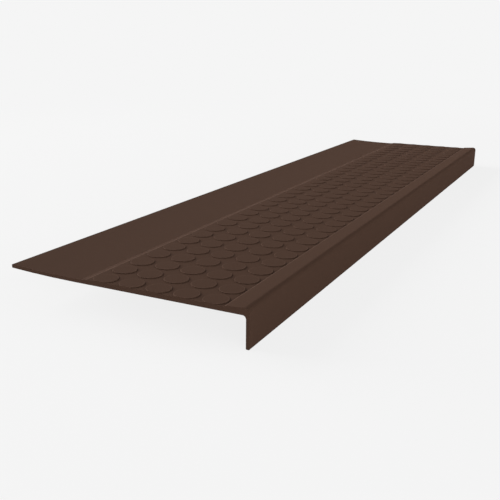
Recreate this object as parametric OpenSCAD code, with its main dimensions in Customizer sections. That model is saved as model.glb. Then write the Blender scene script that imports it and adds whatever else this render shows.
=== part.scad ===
// Rubber stair tread, moulded in one piece. A square nose hooks over the front
// edge of the step, and its top rises a little towards that edge. Behind it lie
// a sunk field of raised round discs, for grip, and a thin smooth band.
// X runs along the step, the nose faces -Y and Z is up. The origin is at the
// middle of the length and of the depth, level with the foot of the nose.

/* [Tread] */
// Length along the step
tread_l = 1219.2; // [600:0.1:2000]
// Depth from the face of the nose to the rear edge
tread_w = 311.2; // [280:0.1:400]
// Thickness up to the tops of the discs, at the front of the disc field
front_t = 6.4; // [5:0.1:10]
// Thickness up to the tops of the discs, at the back of the disc field
back_t = 6.4; // [5:0.1:10]

/* [Nose] */
// How far the nose hangs below the underside of the tread
nose_drop = 36.2; // [20:0.1:60]
// Thickness of the hanging lip
lip_t = 4; // [3:0.1:8]
// How far the front edge stands above the tops of the discs
nose_rise = 2.4; // [0.2:0.1:5]
// Radius of the rounded front edge
front_r = 6; // [1:0.1:8]
// Radius in the inner corner, behind the lip
inner_r = 4.2; // [1:0.1:8]
// Radius of the two edges along the foot of the lip
foot_r = 0.8; // [0.2:0.1:1.4]
// Width of the smooth band along the front edge
band_w = 28; // [15:0.1:60]

/* [Disc field] */
// Depth of the field, from the front band to the rear bevel
field_w = 174.4; // [60:0.1:190]
// Diameter of a disc
disc_d = 28.6; // [15:0.1:45]
// Height of a disc above the floor of the field
disc_h = 0.95; // [0.4:0.05:1.5]
// Radius of a disc's rounded upper edge
disc_edge_r = 0.35; // [0.1:0.05:0.38]
// Space between neighbouring discs
disc_gap = 6.35; // [2:0.05:20]
// Least space between the discs and the front and back of the field
disc_margin = 1; // [0.5:0.1:10]
// Distance from the -X end to the middle of the first discs, which that end cuts
first_disc_x = 13; // [0:0.1:30]
// Width of the slope from the front band down to the floor of the field
step_w = 0.8; // [0.2:0.1:2]

/* [Rear band] */
// Width of the bevel from the floor of the field down to the rear band
bevel_w = 8; // [2:0.1:12]
// Width of the level strip between the bevel and the strip that springs up
level_w = 9; // [2:0.1:60]
// Thickness of the rear band at the foot of the bevel
rear_t = 4; // [2:0.1:5.2]
// Thickness at the rear edge
tip_t = 4; // [2:0.1:6]
// How far the thin rear edge springs up
rear_lift = 2.7; // [0.5:0.1:6]

/* [Hidden] */
$fn = 64;
// facets of the long flat curves, for a segment about 10 mm long
long_curve_fn = 1200;
// how deep each disc is rooted in the field
root = 0.5;
// how far a rounding reaches past its corner, as a share of its radius
past = 0.3;
// how much longer than the tread the uncut stock is, at each end
spare = 10;

under_z = nose_drop;
field_y0 = band_w;
field_y1 = band_w + field_w;
bevel_y1 = field_y1 + bevel_w;
lift_y0 = bevel_y1 + level_w;
lift_w = tread_w - lift_y0;
floor_z0 = under_z + front_t - disc_h;
floor_z1 = under_z + back_t - disc_h;
floor_slope = (floor_z1 - floor_z0) / field_w;
rear_slope = (tip_t - rear_t) / (tread_w - bevel_y1);
disc_r = disc_d / 2;
disc_pitch = disc_d + disc_gap;

// Height of the field's floor at a distance y behind the nose
function floor_z(y) = floor_z0 + floor_slope * (y - field_y0);

// Height of the rear band's top at a distance y, before its edge springs up
function rear_z(y) = under_z + rear_t + rear_slope * (y - bevel_y1);

// Radius of the arc that leaves point a with a slope and passes through point b
function arc_r(a, slope, b) =
    let (v = b - a) (v * v) * norm([slope, 1]) / (2 * v * [-slope, 1]);

// Centre of that arc, which lies above it
function arc_centre(a, slope, b) =
    a + arc_r(a, slope, b) * [-slope, 1] / norm([slope, 1]);

// What lies between a corner and the arc of radius r that touches both its
// sides, a little past the corner too. The sides run from the corner to a and b
module corner(at, a, b, r) {
    u = (a - at) / norm(a - at);
    v = (b - at) / norm(b - at);
    half = acos(u * v) / 2;
    centre = at + (u + v) / norm(u + v) * r / sin(half);
    reach = r / tan(half);
    translate(centre)
        difference() {
            scale(1 + past)
                polygon([[0, 0], at + u * reach - centre, at - centre,
                         at + v * reach - centre]);
            circle(r);
        }
}

// The front part in section: lip, front band, floor of the field and bevel
module front_section() {
    front_top = [0, floor_z0 + disc_h + nose_rise];
    band_end = [field_y0, floor_z0 + disc_h];
    inside = [lip_t, under_z];
    difference() {
        union() {
            polygon([
                [0, 0], [lip_t, 0], inside, [lift_y0, under_z],
                [lift_y0, rear_z(lift_y0)], [bevel_y1, rear_z(bevel_y1)],
                [field_y1, floor_z(field_y1)],
                [field_y0 + step_w, floor_z(field_y0 + step_w)],
                band_end, front_top
            ]);
            corner(inside, [lip_t, 0], [lift_y0, under_z], inner_r);
        }
        corner(front_top, [0, 0], band_end, front_r);
        corner([0, 0], front_top, [lip_t, 0], foot_r);
        corner([lip_t, 0], [0, 0], inside, foot_r);
    }
}

// The thin rear strip in section, which curves up towards its edge
module rear_section() {
    under_a = [lift_y0, under_z];
    under_b = [tread_w, under_z + rear_lift];
    top_a = [lift_y0, rear_z(lift_y0)];
    top_b = [tread_w, under_z + rear_lift + tip_t];
    intersection() {
        difference() {
            translate(under_a)
                square([lift_w, rear_lift + rear_t + tip_t]);
            translate(arc_centre(top_a, rear_slope, top_b))
                circle(arc_r(top_a, rear_slope, top_b), $fn = long_curve_fn);
        }
        translate(arc_centre(under_a, 0, under_b))
            circle(arc_r(under_a, 0, under_b), $fn = long_curve_fn);
    }
}

// One raised disc, standing on the floor of the field
module disc() {
    rotate_extrude()
        difference() {
            translate([0, -root])
                square([disc_r, root + disc_h]);
            corner([disc_r, disc_h], [0, disc_h], [disc_r, 0], disc_edge_r);
        }
}

// Rows and columns of discs. The rows are centred on the field, and the columns
// run on past both ends of the tread
module disc_grid() {
    rows = floor((field_w - 2 * disc_margin - disc_d) / disc_pitch) + 1;
    first = ceil((-first_disc_x - disc_r) / disc_pitch);
    last = floor((tread_l - first_disc_x + disc_r) / disc_pitch);
    for (row = [0 : rows - 1], column = [first : last]) {
        x = first_disc_x - tread_l / 2 + column * disc_pitch;
        y = field_y0 + field_w / 2 + (row - (rows - 1) / 2) * disc_pitch;
        translate([x, y, floor_z(y)])
            rotate([atan(floor_slope), 0, 0])
                disc();
    }
}

// The moulded stock, a little longer than the tread
module stock() {
    rotate([90, 0, 90])
        linear_extrude(tread_l + 2 * spare, center = true)
            union() {
                front_section();
                rear_section();
            }
    disc_grid();
}

// The stock cut to length, square at both ends
module tread() {
    block_w = 2 * (tread_w + spare);
    color([0.29, 0.22, 0.18])
        translate([0, -tread_w / 2, 0])
            intersection() {
                stock();
                cube([tread_l, block_w, block_w], center = true);
            }
}

tread();
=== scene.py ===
import math

import bpy
from mathutils import Matrix, Vector


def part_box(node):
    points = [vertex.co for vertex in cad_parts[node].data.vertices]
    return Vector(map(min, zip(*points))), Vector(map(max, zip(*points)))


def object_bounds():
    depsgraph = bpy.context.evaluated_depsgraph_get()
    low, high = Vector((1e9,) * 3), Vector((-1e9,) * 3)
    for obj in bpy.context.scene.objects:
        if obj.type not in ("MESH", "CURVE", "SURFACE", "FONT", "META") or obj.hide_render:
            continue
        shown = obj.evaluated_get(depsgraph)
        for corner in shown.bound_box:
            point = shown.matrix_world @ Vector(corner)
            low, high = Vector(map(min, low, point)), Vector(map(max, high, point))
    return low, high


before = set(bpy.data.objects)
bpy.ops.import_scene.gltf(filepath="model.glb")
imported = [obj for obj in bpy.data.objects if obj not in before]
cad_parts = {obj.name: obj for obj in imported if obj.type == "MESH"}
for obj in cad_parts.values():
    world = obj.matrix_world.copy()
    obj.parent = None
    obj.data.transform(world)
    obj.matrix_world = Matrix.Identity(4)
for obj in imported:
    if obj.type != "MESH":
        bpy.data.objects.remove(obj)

cad_low, cad_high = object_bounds()
tread_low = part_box("tread")[0]

# The tread
# One moulding of brown rubber, glued over the front edge of a stair step: a nose
# with a hanging lip, a smooth band, a sunk field of round discs and a thin band
# behind. The rubber is matte, mottled and pebbled, and a painted highlight makes
# it lighter along the upper edges of its discs and of its field.

rubber_brown = (0.0586, 0.0332, 0.0234)
rubber_shade = (0.0530, 0.0301, 0.0211)
# a lighter brown painted on upper edges as a highlight
painted_highlight_brown = (0.0952, 0.0582, 0.0437)
bloom_brown = (0.80, 0.46, 0.33)
bloom_weight = 0.02
bloom_roughness = 0.6
gloss_level = 0.005
matte_roughness = 0.8
roughness_swing = 0.12

# how far across the patches and the pebbles are, in metres, and how they mix
mottle_size = 0.035
speckle_size = 0.0025
speckle_share = 0.3
cloud_average = 0.5
pebble_size = 0.0009
pebble_depth = 0.00006
pebble_strength = 0.35

# the field of discs, measured from the front of the nose and from the near end
front_band = 0.028
field_depth = 0.1744
first_disc = 0.013
disc_spacing = 0.03495
disc_radius = 0.0143

# the strips of painted highlight round the discs and along the two edges of the field
highlight_width = 0.0014
rim_blur = 0.0002
edge_blur = 0.0008
field_blur = 0.001
rim_highlight_share = 0.45
edge_highlight_share = 1.0
upward_from = 0.3
upward_full = 0.6


class Socket:
    """An output socket of a node, which takes part in expressions."""

    def __init__(self, tree, link):
        self.tree = tree
        self.link = link

    def math(self, operation, *others):
        """A Math node on this socket and the others."""
        return self.tree.add("ShaderNodeMath", {"operation": operation}, [self, *others])

    def __add__(self, other):
        return self.math("ADD", other)

    def __radd__(self, other):
        return self.math("ADD", other)

    def __sub__(self, other):
        return self.math("SUBTRACT", other)

    def __rsub__(self, other):
        return self.tree.add("ShaderNodeMath", {"operation": "SUBTRACT"}, [other, self])

    def __mul__(self, other):
        return self.math("MULTIPLY", other)

    def __rmul__(self, other):
        return self.math("MULTIPLY", other)


class Tree:
    """The nodes of one material or of the world."""

    def __init__(self, owner):
        owner.use_nodes = True
        self.nodes = owner.node_tree.nodes
        self.links = owner.node_tree.links
        self.nodes.clear()

    def add(self, kind, settings=None, values=None, output=0):
        """Adds a node: its settings first, then the values or links of its sockets."""
        node = self.nodes.new(kind)
        for name, value in (settings or {}).items():
            setattr(node, name, value)
        pairs = values.items() if isinstance(values, dict) else enumerate(values or [])
        for name, value in pairs:
            if isinstance(value, Socket):
                self.links.new(value.link, node.inputs[name])
            else:
                node.inputs[name].default_value = value
        return Socket(self, node.outputs[output]) if node.outputs else node

    def mix(self, share, first, second):
        """A colour that goes from first to second as share goes from 0 to 1."""
        values = {0: share, 6: rgba(first), 7: rgba(second)}
        return self.add("ShaderNodeMix", {"data_type": "RGBA"}, values, output=2)

    def noise(self, place, size, detail):
        """Cloudy noise from 0 to 1 whose patches are about size metres across."""
        values = {"Vector": place, "Scale": 1 / size, "Detail": detail}
        return self.add("ShaderNodeTexNoise", None, values)

    def part(self, vector, axis):
        """The x, y or z of a vector, as a number."""
        return self.add("ShaderNodeSeparateXYZ", None, [vector], output=axis)

    def step(self, value, low, high):
        """0 below low, 1 above high and a smooth slope between."""
        settings = {"interpolation_type": "SMOOTHSTEP"}
        return self.add("ShaderNodeMapRange", settings, [value, low, high, 0.0, 1.0])

    def strip(self, value, low, high, rise, fall):
        """0 outside low and high and 1 between, with a slope rise and fall wide inside each."""
        return self.step(value, low, low + rise) * (1 - self.step(value, high - fall, high))


def rgba(colour):
    """Three numbers as an opaque colour; a socket stays as it is."""
    return colour if isinstance(colour, Socket) else (*colour, 1)


rubber = bpy.data.materials.new("moulded_rubber")
tree = Tree(rubber)
place = tree.add("ShaderNodeTexCoord", output=3)
mottle = tree.noise(place, mottle_size, detail=3.0)
speckle = tree.noise(place, speckle_size, detail=2.0)
pebble = tree.noise(place, pebble_size, detail=1.0)
cloud = mottle * (1 - speckle_share) + speckle * speckle_share

# how far a point lies from the middle of the nearest disc, and of the field
along = tree.part(place, 0) - (tread_low.x + first_disc)
across = tree.part(place, 1) - (tread_low.y + front_band + field_depth / 2)
from_column = along.math("PINGPONG", disc_spacing / 2)
from_row = across.math("PINGPONG", disc_spacing / 2)
from_disc = (from_column * from_column + from_row * from_row).math("SQRT")
from_field = across.math("ABSOLUTE")

field_end = field_depth / 2
in_field = 1 - tree.step(from_field, field_end, field_end + field_blur)
# painted highlight: a lighter brown on the upward-facing rims of the discs and edges of the field
rim_highlight = tree.strip(from_disc, disc_radius - highlight_width, disc_radius, highlight_width / 2, rim_blur)
edge_highlight = tree.strip(from_field, field_end - edge_blur, field_end + highlight_width, edge_blur, highlight_width / 2)
upward = tree.part(tree.add("ShaderNodeTexCoord", output=1), 2)
painted_highlight = (rim_highlight * in_field * rim_highlight_share + edge_highlight * edge_highlight_share) * tree.step(upward, upward_from, upward_full)

brown = tree.mix(painted_highlight, tree.mix(cloud, rubber_shade, rubber_brown), painted_highlight_brown)
roughness = matte_roughness + (cloud - cloud_average) * roughness_swing
grain = tree.add("ShaderNodeBump", None, {
    "Strength": pebble_strength,
    "Distance": pebble_depth,
    "Height": pebble,
})
surface = tree.add("ShaderNodeBsdfPrincipled", None, {
    "Base Color": brown,
    "Roughness": roughness,
    "Specular IOR Level": gloss_level,
    "Sheen Weight": bloom_weight,
    "Sheen Roughness": bloom_roughness,
    "Sheen Tint": rgba(bloom_brown),
    "Normal": grain,
})
tree.add("ShaderNodeOutputMaterial", None, [surface])
tread_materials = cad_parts["tread"].data.materials
tread_materials.clear()
tread_materials.append(rubber)

# The studio
# Pale paper runs under the tread and on into a background of the same tone. Tall
# soft panels stand round it: the brightest behind the tread, and weaker ones past
# its two ends and on the side of the nose.

pale = (0.913, 0.913, 0.913)
paper_colour = (0.85, 0.85, 0.85)
white = (1, 1, 1)
floor_half = 60
floor_gap = 0.0002
near_glow = 0.9
glow_start = 0.9
glow_end = 2.2
air_level = 0.2
panel_distance = 8
panel_width = 6.6
panel_height = 5.6


def flat_sheet(name, half_size, height):
    """A square sheet round the origin, half_size metres each way."""
    corners = [(-1, -1), (1, -1), (1, 1), (-1, 1)]
    mesh = bpy.data.meshes.new(name)
    points = [(x * half_size, y * half_size, height) for x, y in corners]
    mesh.from_pydata(points, [], [(0, 1, 2, 3)])
    sheet = bpy.data.objects.new(name, mesh)
    bpy.context.scene.collection.objects.link(sheet)
    return sheet


def seen_directly(tree):
    """1 for what the camera sees, by itself or in gloss or glass, and 0 for diffuse light."""
    kinds = tree.add("ShaderNodeLightPath").link.node.outputs
    seen = Socket(tree, kinds["Is Camera Ray"])
    for kind in ("Is Glossy Ray", "Is Transmission Ray"):
        seen = seen.math("MAXIMUM", Socket(tree, kinds[kind]))
    return seen


floor = flat_sheet("studio_floor", floor_half, cad_low.z - floor_gap)
floor_paper = bpy.data.materials.new("pale_paper")
tree = Tree(floor_paper)
place = tree.add("ShaderNodeTexCoord", output=3)
far = tree.add("ShaderNodeVectorMath", {"operation": "LENGTH"}, [place], output=1)
lit = tree.add("ShaderNodeBsdfDiffuse", None, {"Color": rgba(paper_colour)})
glow = tree.add("ShaderNodeEmission", None, {"Color": rgba(pale)})
share = near_glow + (1 - near_glow) * tree.step(far, glow_start, glow_end)
paper = tree.add("ShaderNodeMixShader", None, [share * seen_directly(tree), lit, glow])
tree.add("ShaderNodeOutputMaterial", None, [paper])
floor.data.materials.append(floor_paper)

world = bpy.data.worlds.new("studio_air")
bpy.context.scene.world = world
tree = Tree(world)
air = tree.add("ShaderNodeBackground", None, {"Color": rgba(white), "Strength": air_level})
backdrop = tree.add("ShaderNodeBackground", None, {"Color": rgba(pale), "Strength": 1.0})
surround = tree.add("ShaderNodeMixShader", None, [seen_directly(tree), air, backdrop])
tree.add("ShaderNodeOutputWorld", None, [surround])


def soft_panel(name, azimuth, brightness):
    """A tall soft lamp on the floor that faces the tread; brightness 1 shows as white."""
    lamp = bpy.data.lights.new(name, "AREA")
    lamp.shape = "RECTANGLE"
    lamp.size = panel_width
    lamp.size_y = panel_height
    lamp.energy = brightness * math.pi * panel_width * panel_height
    panel = bpy.data.objects.new(name, lamp)
    outward = Vector((math.cos(math.radians(azimuth)), math.sin(math.radians(azimuth)), 0))
    panel.location = outward * panel_distance + Vector((0, 0, cad_low.z + panel_height / 2))
    panel.rotation_euler = (-outward).to_track_quat("-Z", "Y").to_euler()
    panel.visible_camera = False
    bpy.context.scene.collection.objects.link(panel)


soft_panel("rear_panel", 90, 12.8)
soft_panel("far_end_panel", 45, 1.6)
soft_panel("near_corner_panel", 225, 4.3)
soft_panel("nose_side_panel", 300, 2.2)

# The camera
# It looks along the tread from beyond the near end, a little from above, as the
# photograph does. Its place is measured from the near lower corner of the nose.

camera_from_corner = Vector((-0.5887, -0.2953, 0.3011))
camera_yaw = math.radians(-63.34)
camera_pitch = math.radians(16.61)
camera_roll = math.radians(0.52)
picture_width = 500
focal_pixels = 718.3

camera = bpy.data.cameras.new("photo_camera")
camera.sensor_width = 36
camera.lens = focal_pixels / picture_width * camera.sensor_width
camera.clip_start = 0.01
camera.clip_end = 200
view = bpy.data.objects.new("photo_camera", camera)
turn = Matrix.Rotation(camera_yaw, 4, "Z")
tilt = Matrix.Rotation(math.pi / 2 - camera_pitch, 4, "X")
roll = Matrix.Rotation(camera_roll, 4, "Z")
view.matrix_world = Matrix.Translation(tread_low + camera_from_corner) @ turn @ tilt @ roll
bpy.context.scene.collection.objects.link(view)
bpy.context.scene.camera = view
bpy.context.scene.view_settings.view_transform = "Standard"
